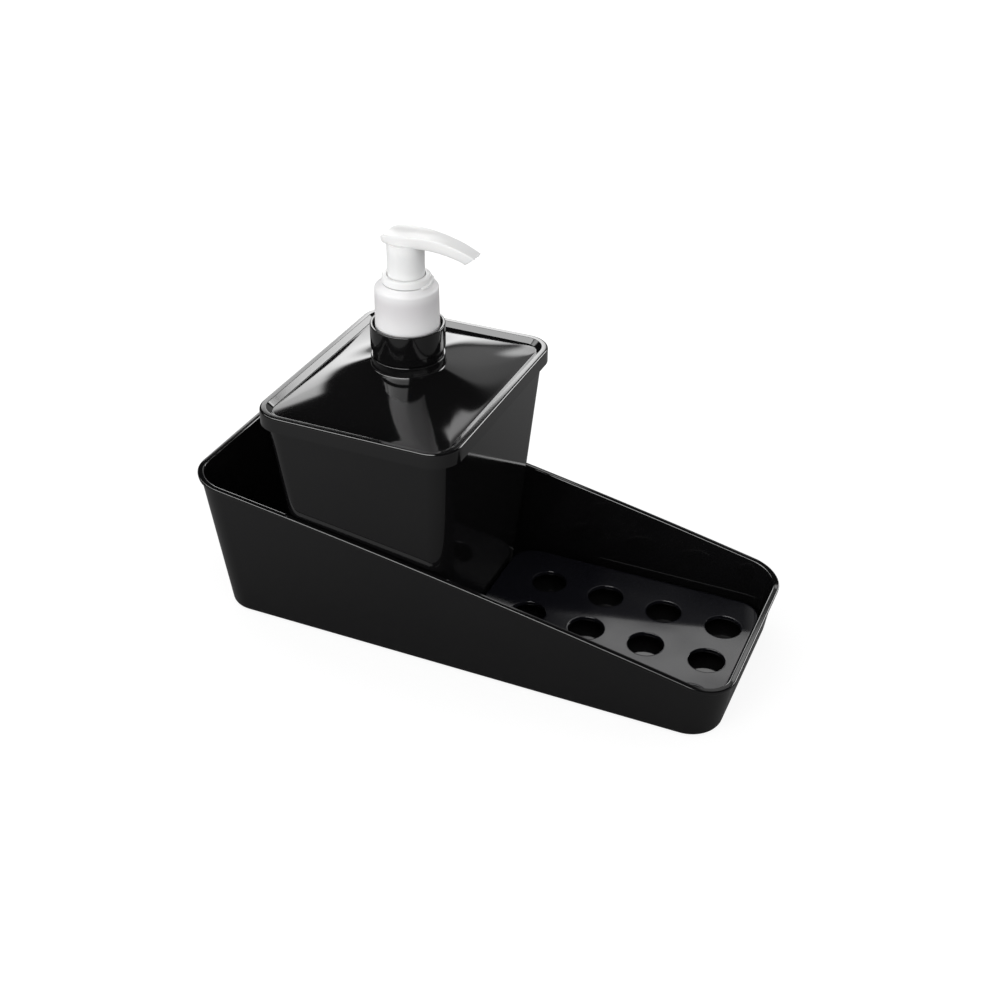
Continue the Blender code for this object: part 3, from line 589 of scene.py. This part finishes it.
def makeRetainer(values):
    out = (retainerHigh.x - retainerLow.x) / 2
    sleeveLow = retainerLow.z + values["guideLength"]
    collarLow = retainerHigh.z - values["height"]
    floorTop = sleeveLow + values["floor"]
    retainer = turnedPiece("retainerCollar", [
        (values["sleeve"], sleeveLow, values["sleeveEdge"]),
        (values["sleeve"], collarLow, values["guideEdge"]),
        (out, collarLow, values["innerEdge"]),
        (out, retainerHigh.z, values["edge"]),
        (values["bore"], retainerHigh.z, values["innerEdge"]),
        (values["bore"], floorTop, values["innerEdge"]),
        (values["guideBore"], floorTop, values["sleeveEdge"]),
        (values["guideBore"], retainerLow.z, values["guideEdge"]),
        (values["guideOut"], retainerLow.z, values["guideEdge"]),
        (values["guideOut"], sleeveLow, values["guideEdge"]),
    ], whitePlastic)
    placePiece(evenNormals(retainer), "pump", "retainer")


# low ramps that lock the head down: arcs on the collar's side, each rising to one end; an arc is
# (first angle, last angle, height in millimetres)
rampValues = {"arcs": ((-28, 24, 2.4), (30, 78, 1.6)), "reach": 1.3 * mm, "sink": 0.5 * mm, "low": 0.5 * mm,
              "gap": 0.06 * mm, "steps": 24, "edge": 0.25 * mm}


def makeRamps(values):
    out = (retainerHigh.x - retainerLow.x) / 2
    inner, outer = out - values["sink"], out + values["reach"]
    deck = closureHigh.z + values["gap"]
    form = bmesh.new()
    for first, last, height in values["arcs"]:
        rings = []
        for step in range(values["steps"] + 1):
            share = step / values["steps"]
            angle = math.radians(mix(first, last, share))
            top = deck + mix(values["low"], height * mm, share)
            profile = softProfile([(inner, deck, 0), (outer, deck, 0), (outer, top, values["edge"]),
                                   (inner, top, 0)])
            rings.append([(axisX + math.cos(angle) * radius, math.sin(angle) * radius, z)
                          for radius, z in profile])
        skinRings(form, rings)
    bmesh.ops.recalc_face_normals(form, faces=form.faces)
    placePiece(evenNormals(makeObject("lockRamps", form, whitePlastic)), "pump")


makeRetainer(retainerValues)
makeRamps(rampValues)
print("retainer made")

# the actuator: each station is (foot along, foot up, top along, top up, half width, dish) in millimetres,
# and each point of its half section is (share across, share up, share of the dish)
headValues = {
    "stations": (
        (-10.2, 3.3, -10.3, 4.1, 2.4, 0.0),
        (-9.8, 2.4, -9.8, 5.3, 4.3, 0.3),
        (-8.6, 2.0, -8.4, 6.4, 5.8, 0.8),
        (-6.2, 1.8, -6.0, 7.1, 6.9, 1.4),
        (-2.8, 1.6, -2.6, 7.5, 7.4, 1.8),
        (1.0, 1.6, 1.2, 7.8, 7.3, 1.9),
        (6.0, 1.7, 6.2, 8.0, 6.5, 1.4),
        (11.0, 1.8, 11.2, 8.0, 5.6, 0.9),
        (16.0, 1.3, 16.4, 7.4, 4.9, 0.6),
        (21.0, 0.4, 22.0, 6.3, 4.4, 0.45),
        (25.2, -0.6, 27.2, 4.7, 4.1, 0.35),
        (27.6, -1.6, 31.2, 3.0, 3.8, 0.25),
        (28.4, -2.0, 33.5, 1.9, 3.6, 0.2),
    ),
    "height": 9 * mm, "skirtRadius": 8.1 * mm, "skirtWall": 0.9 * mm, "skirtTop": 3 * mm,
    "skirtEdge": 0.2 * mm, "mouthInset": 1.0 * mm, "mouthDepth": 7 * mm, "mouthSlope": 0.35,
    "mouthReach": 2 * mm, "bossOut": 5.2 * mm, "bossBore": 3.9 * mm, "bossDepth": 10.1 * mm,
    "bossEdge": 0.1 * mm, "ceiling": 1.3 * mm, "ceilingEdge": 0.3 * mm,
    "shape": ((0.0, 0.0, 0.0), (0.45, 0.0, 0.0), (0.74, 0.05, 0.0), (0.9, 0.3, 0.0), (0.98, 0.68, 0.0),
              (1.0, 0.94, 0.0), (0.92, 1.0, 0.0), (0.78, 1.0, 0.5), (0.45, 1.0, 0.88), (0.0, 1.0, 1.0)),
    "rimPoints": (5, 6), "rimCrease": 0.45, "mouthCrease": 0.75, "levels": 3,
}


def makeActuator(values):
    base = headHigh.z - values["height"]
    half = values["shape"]
    whole = list(half) + [(-across, share, sunk) for across, share, sunk in half[-2:0:-1]]
    rings = []
    for footX, footZ, topX, topZ, width, dish in values["stations"]:
        ring = []
        for across, share, sunk in whole:
            ring.append((axisX + mix(footX, topX, share) * mm, across * width * mm,
                         base + (mix(footZ, topZ, share) - dish * sunk) * mm))
        rings.append(ring)
    form = bmesh.new()
    loops = skinRings(form, rings, capEnd=False)
    mouth = [Vector(point) for point in rings[-1]]
    middle = sum(mouth, Vector()) / len(mouth)
    lip = []
    for point in mouth:
        arm = point - middle
        inset = values["mouthInset"] / max(arm.length, values["mouthReach"])
        lip.append(form.verts.new(middle + arm * (1 - inset)))
    inward = Vector((-1, 0, values["mouthSlope"])) * values["mouthDepth"]
    deep = [form.verts.new(vert.co + inward) for vert in lip]
    for index in range(len(lip)):
        following = (index + 1) % len(lip)
        form.faces.new((loops[-1][index], loops[-1][following], lip[following], lip[index]))
        form.faces.new((lip[index], lip[following], deep[following], deep[index]))
    form.faces.new(deep)
    crease = form.edges.layers.float.new("crease_edge")
    for loop, following in zip(loops[1:], loops[2:]):
        for index in values["rimPoints"]:
            for point in (index, len(loop) - index):
                form.edges.get((loop[point], following[point]))[crease] = values["rimCrease"]
    for ring in (loops[-1], lip):
        for index in range(len(ring)):
            edge = form.edges.get((ring[index], ring[(index + 1) % len(ring)]))
            edge[crease] = values["mouthCrease"]
    head = makeObject("actuatorHead", form, whitePlastic, flatSharp=0)
    rounding = head.modifiers.new("rounding", "SUBSURF")
    rounding.levels = rounding.render_levels = values["levels"]
    head.data = bakedMesh(head)
    head.modifiers.clear()
    placePiece(head, "head", "actuator")
    skirtOut = values["skirtRadius"]
    skirtIn = skirtOut - values["skirtWall"]
    skirtTop = base + values["skirtTop"]
    ceiling = base - values["ceiling"]
    bossLow = base - values["bossDepth"]
    skirt = turnedPiece("actuatorSkirt", [
        (skirtOut, headLow.z, values["skirtEdge"]),
        (skirtOut, skirtTop, 0),
        (values["bossBore"], skirtTop, 0),
        (values["bossBore"], bossLow, values["bossEdge"]),
        (values["bossOut"], bossLow, values["bossEdge"]),
        (values["bossOut"], ceiling, values["ceilingEdge"]),
        (skirtIn, ceiling, values["ceilingEdge"]),
        (skirtIn, headLow.z, values["skirtEdge"]),
    ], whitePlastic)
    placePiece(evenNormals(skirt), "head")


makeActuator(headValues)
print("actuator made")

# the drip grid: its plate and hole edges are drawn by geometry nodes from the hole pattern; lowerEdge is a
# share of holeEdge, and weld is the distance within which the parts' points are joined
gridValues = {"plate": 2 * mm, "wall": 1.6 * mm, "edge": 1.0 * mm, "holeEdge": 0.8 * mm, "lowerEdge": 0.9,
              "holeRadius": 8.25 * mm, "holeSteps": 96, "columns": 4, "rows": 3, "columnPitch": 28.9 * mm,
              "rowPitch": 26.6 * mm, "endMargin": 13.4 * mm, "sideShift": 4.2 * mm, "corner": 11.7 * mm,
              "footEdge": 0.3 * mm, "weld": 0.01 * mm}


# realizes what a tree has made and sets its finish
def endTree(tree, geometry, start, end):
    real = addNode(tree, "GeometryNodeRealizeInstances", {"Geometry": geometry})
    painted = addNode(tree, "GeometryNodeSetMaterial", {"Geometry": real.outputs[0],
                                                        "Material": start["Finish"]})
    setInputs(tree, end, {0: painted.outputs[0]})
    return tree


# runs a tree on a piece and keeps its result as a plain mesh
def drawByTree(piece, tree, inputs):
    drawn = piece.modifiers.new(tree.name, "NODES")
    drawn.node_group = tree
    for item in tree.interface.items_tree:
        if item.in_out == "INPUT" and item.name in inputs:
            drawn[item.identifier] = inputs[item.name]
    plain = bakedMesh(piece)
    piece.modifiers.clear()
    return plain


def buildGridTree():
    tree, start, end = startGroup("drainPattern", "GeometryNodeTree", {
        "Geometry": "Geometry", "Columns": "Int", "Rows": "Int", "Column Pitch": "Float",
        "Row Pitch": "Float", "Centre": "Vector", "Hole Radius": "Float", "Hole Steps": "Int",
        "Plate": "Float", "Hole Edge": "Object", "Finish": "Material"}, {"Geometry": "Geometry"})

    def span(count, pitch):
        return calculate(tree, "MULTIPLY", calculate(tree, "SUBTRACT", start[count], 1), start[pitch])

    # one point for each hole
    pattern = addNode(tree, "GeometryNodeMeshGrid", {
        "Size X": span("Columns", "Column Pitch"), "Size Y": span("Rows", "Row Pitch"),
        "Vertices X": start["Columns"], "Vertices Y": start["Rows"]})
    placed = addNode(tree, "GeometryNodeTransform", {"Geometry": pattern.outputs["Mesh"],
                                                     "Translation": start["Centre"]})
    # the plate's border and the circles, filled and laid at the plate's height
    circle = addNode(tree, "GeometryNodeCurvePrimitiveCircle", {"Resolution": start["Hole Steps"],
                                                                "Radius": start["Hole Radius"]})
    holes = addNode(tree, "GeometryNodeInstanceOnPoints", {"Points": placed.outputs["Geometry"],
                                                           "Instance": circle.outputs["Curve"]})
    holeCurves = addNode(tree, "GeometryNodeRealizeInstances", {"Geometry": holes.outputs["Instances"]})
    border = addNode(tree, "GeometryNodeMeshToCurve", {"Mesh": start["Geometry"]})
    curves = addNode(tree, "GeometryNodeJoinGeometry", {0: [border.outputs["Curve"], holeCurves.outputs[0]]})
    fill = addNode(tree, "GeometryNodeFillCurve", {"Curve": curves.outputs[0]})
    here = addNode(tree, "ShaderNodeSeparateXYZ", {0: addNode(tree, "GeometryNodeInputPosition").outputs[0]})
    centre = addNode(tree, "ShaderNodeSeparateXYZ", {0: start["Centre"]})
    flat = addNode(tree, "ShaderNodeCombineXYZ", {"X": here.outputs["X"], "Y": here.outputs["Y"],
                                                  "Z": centre.outputs["Z"]})
    top = addNode(tree, "GeometryNodeSetPosition", {"Geometry": fill.outputs["Mesh"],
                                                    "Position": flat.outputs[0]})
    # the same again as the underside, and an edge at each hole
    drop = addNode(tree, "ShaderNodeCombineXYZ", {"Z": calculate(tree, "MULTIPLY", start["Plate"], -1)})
    lowered = addNode(tree, "GeometryNodeTransform", {"Geometry": top.outputs["Geometry"],
                                                      "Translation": drop.outputs[0]})
    flipped = addNode(tree, "GeometryNodeFlipFaces", {"Mesh": lowered.outputs["Geometry"]})
    edgeInfo = addNode(tree, "GeometryNodeObjectInfo", {"Object": start["Hole Edge"]},
                       transform_space="ORIGINAL")
    edges = addNode(tree, "GeometryNodeInstanceOnPoints", {"Points": placed.outputs["Geometry"],
                                                           "Instance": edgeInfo.outputs["Geometry"]})
    everything = addNode(tree, "GeometryNodeJoinGeometry", {
        0: [top.outputs["Geometry"], flipped.outputs["Mesh"], edges.outputs["Instances"]]})
    return endTree(tree, everything.outputs[0], start, end)


def makeGrid(values):
    halfX, halfY = (gridHigh.x - gridLow.x) / 2, (gridHigh.y - gridLow.y) / 2
    centre = ((gridLow.x + gridHigh.x) / 2, (gridLow.y + gridHigh.y) / 2)
    edge, radius, plate, wall = (values[key] for key in ("holeEdge", "holeRadius", "plate", "wall"))

    def outline(offset):
        return roundedOutline(halfX + offset, halfY + offset, values["corner"] + offset, centre)

    form = bmesh.new()
    profile = softProfile([(radius + edge, -plate, 0), (radius, -plate, edge * values["lowerEdge"]),
                           (radius, 0, edge), (radius + edge, 0, 0)], closed=False)
    skinRings(form, [atHeight(circlePoints(out, values["holeSteps"]), z) for out, z in profile],
              capStart=False, capEnd=False)
    bmesh.ops.reverse_faces(form, faces=form.faces)
    holeEdge = makeObject("holeEdge", form, gridGloss)
    form = bmesh.new()
    border = [form.verts.new(point) for point in atHeight(outline(-wall), gridHigh.z)]
    for index in range(len(border)):
        form.edges.new((border[index - 1], border[index]))
    grid = makeObject("gridPlate", form, gridGloss, flatSharp=0)
    columns, rows = values["columns"], values["rows"]
    firstX = gridHigh.x - values["endMargin"]
    middle = (firstX - (columns - 1) * values["columnPitch"] / 2, centre[1] - values["sideShift"], gridHigh.z)
    drawn = drawByTree(grid, buildGridTree(), {
        "Columns": columns, "Rows": rows, "Column Pitch": values["columnPitch"],
        "Row Pitch": values["rowPitch"], "Centre": middle, "Hole Radius": radius + edge,
        "Hole Steps": values["holeSteps"], "Plate": plate, "Hole Edge": holeEdge, "Finish": gridGloss})
    form = bmesh.new()
    form.from_mesh(drawn)
    skirt = softProfile([(-wall, gridHigh.z - plate, 0), (-wall, gridLow.z, values["footEdge"]),
                         (0, gridLow.z, values["footEdge"]), (0, gridHigh.z, values["edge"]),
                         (-wall, gridHigh.z, 0)], closed=False)
    skinRings(form, [atHeight(outline(offset), z) for offset, z in skirt], capStart=False, capEnd=False)
    bmesh.ops.remove_doubles(form, verts=form.verts, dist=values["weld"])
    form.to_mesh(drawn)
    form.free()
    drawn.shade_smooth()
    drawn.set_sharp_from_angle(angle=math.radians(detail["sharpAngle"]))
    drawn.materials.clear()
    drawn.materials.append(gridGloss)
    grid.data = drawn
    bpy.data.objects.remove(holeEdge)
    placePiece(evenNormals(grid), "grid", "drip_grid")


makeGrid(gridValues)
print("drip grid made")

# the return spring, which shortens as the head is pressed, drawn as a coil along a spiral at one length
springValues = {"wire": 0.4 * mm, "turns": 7, "steps": 48, "sides": 12, "press": 11 * mm}


def buildCoilTree():
    tree, start, end = startGroup("coil", "GeometryNodeTree", {
        "Geometry": "Geometry", "Turns": "Float", "Radius": "Float", "Height": "Float", "Steps": "Int",
        "Wire": "Float", "Sides": "Int", "Foot": "Vector", "Finish": "Material"}, {"Geometry": "Geometry"})
    spiral = addNode(tree, "GeometryNodeCurveSpiral", {
        "Rotations": start["Turns"], "Start Radius": start["Radius"], "End Radius": start["Radius"],
        "Height": start["Height"], "Resolution": start["Steps"]})
    section = addNode(tree, "GeometryNodeCurvePrimitiveCircle", {"Resolution": start["Sides"],
                                                                 "Radius": start["Wire"]})
    wire = addNode(tree, "GeometryNodeCurveToMesh", {
        "Curve": spiral.outputs["Curve"], "Profile Curve": section.outputs["Curve"], "Fill Caps": True})
    placed = addNode(tree, "GeometryNodeTransform", {"Geometry": wire.outputs["Mesh"],
                                                     "Translation": start["Foot"]})
    return endTree(tree, placed.outputs["Geometry"], start, end)


def makeSpring(values):
    low, high = boxOf("spring")
    foot = low.z + values["wire"]
    height = high.z - low.z - 2 * values["wire"]
    spring = makeObject("springCoil", bmesh.new(), brightSteel, flatSharp=0)
    spring.data = drawByTree(spring, buildCoilTree(), {
        "Turns": float(values["turns"]), "Radius": (high.x - low.x) / 2 - values["wire"], "Height": height,
        "Steps": values["steps"], "Wire": values["wire"], "Sides": values["sides"], "Foot": (axisX, 0, foot),
        "Finish": brightSteel})
    spring.data.shade_smooth()
    placePiece(spring, "pump", "spring")
    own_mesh(spring)


makeSpring(springValues)
print("spring made")

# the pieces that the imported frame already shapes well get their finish
for node, finish in (("neck_gasket", gasketFoam), ("pump_housing", naturalPlastic),
                     ("dip_tube", naturalPlastic), ("inlet_ball", brightSteel), ("stem", naturalPlastic),
                     ("piston", naturalPlastic), ("piston_seat", naturalPlastic)):
    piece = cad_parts[node]
    piece.data.materials.clear()
    piece.data.materials.append(finish)
print("inner pieces finished")

# camera at the photograph's angle
cameraValues = {"place": (0.2241, -0.5145, 0.4268), "yaw": 23.08, "pitch": 33.05, "roll": 0.61, "lens": 52.82,
                "sensor": 36, "seenFrom": 0.01, "seenTo": 50}


def makeCamera(values):
    yaw, pitch, roll = (math.radians(values[key]) for key in ("yaw", "pitch", "roll"))
    ahead = Vector((-math.sin(yaw) * math.cos(pitch), math.cos(yaw) * math.cos(pitch), -math.sin(pitch)))
    right = Vector((math.cos(yaw), math.sin(yaw), 0))
    upward = right.cross(ahead)
    rolledRight = right * math.cos(roll) + upward * math.sin(roll)
    rolledUp = upward * math.cos(roll) - right * math.sin(roll)
    data = bpy.data.cameras.new("photoCamera")
    data.lens = values["lens"]
    data.sensor_width = values["sensor"]
    data.sensor_fit = "HORIZONTAL"
    data.clip_start = values["seenFrom"]
    data.clip_end = values["seenTo"]
    camera = bpy.data.objects.new("photoCamera", data)
    bpy.context.collection.objects.link(camera)
    turn = Matrix((rolledRight, rolledUp, -ahead)).transposed()
    camera.matrix_world = Matrix.Translation(Vector(values["place"])) @ turn.to_4x4()
    bpy.context.scene.camera = camera


makeCamera(cameraValues)

# pale floor, its colour darker round the object as a painted shadow, key lamp and the panels that glossy
# plastic mirrors; angles are in degrees, azimuth from +Y to +X, and the azimuths are counted from backAngle
studioValues = {
    # the first two floor colours are a painted shadow: darker near the object, paler further away
    "floorSize": 6, "floorDrop": 0.2 * mm, "floorPaintedShadow": 0.2, "floorBeyondShadow": 0.4, "floorShadowReach": (0.07, 0.3),
    "floorShadowSquash": (0.5, 1, 1), "floorRoughness": 0.9, "floorGlow": 0.86, "fill": (1.02, 0.7), "gloom": 0.012,
    "backAngle": -100,
    "panels": (
        {"azimuth": (-43, -19), "elevation": (-6, 30.5), "lowEdge": 12, "edge": 2, "level": 3.6},
        {"azimuth": (-31, -15), "elevation": (20, 30.5), "lowEdge": 4, "edge": 2, "level": 3.0},
        {"azimuth": (-20, 13), "elevation": (-14, 37), "lowEdge": 40, "edge": 3, "level": 0.65},
        {"azimuth": (19, 46), "elevation": (6, 35.5), "lowEdge": 8, "edge": 1.5, "level": 10.0},
        {"azimuth": (150, 268), "elevation": (41, 88), "lowEdge": 8, "edge": 8, "level": 9.0},
        {"azimuth": (-20, -4), "elevation": (36.5, 42), "lowEdge": 1.5, "edge": 2, "level": 2.6},
        {"azimuth": (-100, -72), "elevation": (30, 66), "lowEdge": 8, "edge": 8, "level": 5.0},
    ),
    "key": {"place": (-0.3, -0.84, 0.25), "target": (0, 0, 0.08), "size": (0.5, 0.3), "power": 3.4},
}


def makeFloor(values):
    form = bmesh.new()
    bmesh.ops.create_grid(form, x_segments=1, y_segments=1, size=values["floorSize"] / 2)
    material, tree, shader = newMaterial("paleFloor")
    place = addNode(tree, "ShaderNodeTexCoord")
    squashed = addNode(tree, "ShaderNodeMapping", {"Vector": place.outputs["Object"],
                                                   "Scale": values["floorShadowSquash"]})
    away = addNode(tree, "ShaderNodeVectorMath", {0: squashed.outputs[0]}, operation="LENGTH")
    near, far = values["floorShadowReach"]
    # painted shadow: the floor's colour is darker near the object and pales with distance, and glossy plastic
    # mirrors it
    shade = addNode(tree, "ShaderNodeMapRange", {
        "Value": away.outputs["Value"], "From Min": near, "From Max": far,
        "To Min": values["floorPaintedShadow"], "To Max": values["floorBeyondShadow"]})
    path = addNode(tree, "ShaderNodeLightPath")
    setInputs(tree, shader, {
        "Base Color": shade.outputs[0], "Roughness": values["floorRoughness"], "Specular IOR Level": 0,
        "Emission Color": (1, 1, 1, 1),
        "Emission Strength": calculate(tree, "MULTIPLY", path.outputs["Is Camera Ray"], values["floorGlow"])})
    floor = makeObject("floor", form, material, flatSharp=0)
    floor.location.z = -values["floorDrop"]


# a soft-edged patch of light between two azimuths and two elevations; its lower limit has its own softness
def buildPanelGroup():
    labels = ("Azimuth", "Elevation", "Azimuth Low", "Azimuth High", "Elevation Low", "Elevation High",
              "Low Edge", "Edge", "Level")
    group, start, end = startGroup("softPanel", "ShaderNodeTree", {label: "Float" for label in labels},
                                   {"Value": "Float"})
    total = start["Level"]
    for first, second, edge in (("Azimuth", "Azimuth Low", "Edge"), ("Azimuth High", "Azimuth", "Edge"),
                                ("Elevation", "Elevation Low", "Low Edge"),
                                ("Elevation High", "Elevation", "Edge")):
        inside = calculate(group, "SUBTRACT", start[first], start[second])
        share = calculate(group, "DIVIDE", inside, start[edge])
        soft = addNode(group, "ShaderNodeMapRange", {"Value": share}, interpolation_type="SMOOTHSTEP")
        total = calculate(group, "MULTIPLY", total, soft.outputs[0])
    setInputs(group, end, {"Value": total})
    return group


def makeWorld(values):
    world = bpy.data.worlds.new("studio")
    bpy.context.scene.world = world
    world.use_nodes = True
    tree = world.node_tree
    tree.nodes.clear()
    place = addNode(tree, "ShaderNodeTexCoord")
    path = addNode(tree, "ShaderNodeLightPath").outputs
    apart = addNode(tree, "ShaderNodeSeparateXYZ", {0: place.outputs["Generated"]}).outputs
    elevation = calculate(tree, "ARCSINE", apart["Z"])
    azimuth = calculate(tree, "WRAP", calculate(tree, "ARCTAN2", apart["X"], apart["Y"]),
                        math.radians(values["backAngle"] + 360), math.radians(values["backAngle"]))
    group = buildPanelGroup()
    mirrored = values["gloom"]
    for panel in values["panels"]:
        angles = {"Azimuth Low": panel["azimuth"][0], "Azimuth High": panel["azimuth"][1],
                  "Elevation Low": panel["elevation"][0], "Elevation High": panel["elevation"][1],
                  "Low Edge": panel["lowEdge"], "Edge": panel["edge"]}
        patch = addNode(tree, "ShaderNodeGroup", node_tree=group)
        setInputs(tree, patch, {"Azimuth": azimuth, "Elevation": elevation, "Level": panel["level"],
                                **{label: math.radians(angle) for label, angle in angles.items()}})
        mirrored = calculate(tree, "ADD", patch.outputs[0], mirrored)
    # glossy rays see the panels, the camera sees white, and all other light is plain
    low, high = values["fill"]
    plain = addNode(tree, "ShaderNodeMapRange", {"Value": apart["Z"], "To Min": low, "To Max": high})
    lit = addNode(tree, "ShaderNodeMix", {"Factor": path["Is Glossy Ray"], "A": plain.outputs[0],
                                          "B": mirrored}, data_type="FLOAT")
    seen = addNode(tree, "ShaderNodeMix", {"Factor": path["Is Camera Ray"], "A": lit.outputs["Result"],
                                           "B": 1.0}, data_type="FLOAT")
    back = addNode(tree, "ShaderNodeBackground", {"Color": (1, 1, 1, 1), "Strength": seen.outputs["Result"]})
    addNode(tree, "ShaderNodeOutputWorld", {"Surface": back.outputs[0]})


def makeLamp(name, values):
    data = bpy.data.lights.new(name, "AREA")
    data.shape = "RECTANGLE"
    data.size, data.size_y = values["size"]
    data.energy = values["power"]
    lamp = bpy.data.objects.new(name, data)
    bpy.context.collection.objects.link(lamp)
    lamp.location = values["place"]
    aim = Vector(values["target"]) - Vector(values["place"])
    lamp.rotation_euler = aim.to_track_quat("-Z", "Y").to_euler()
    lamp.visible_glossy = False


makeFloor(studioValues)
makeWorld(studioValues)
makeLamp("keyLamp", studioValues["key"])
print("studio made")

bpy.context.scene.view_settings.view_transform = "Standard"
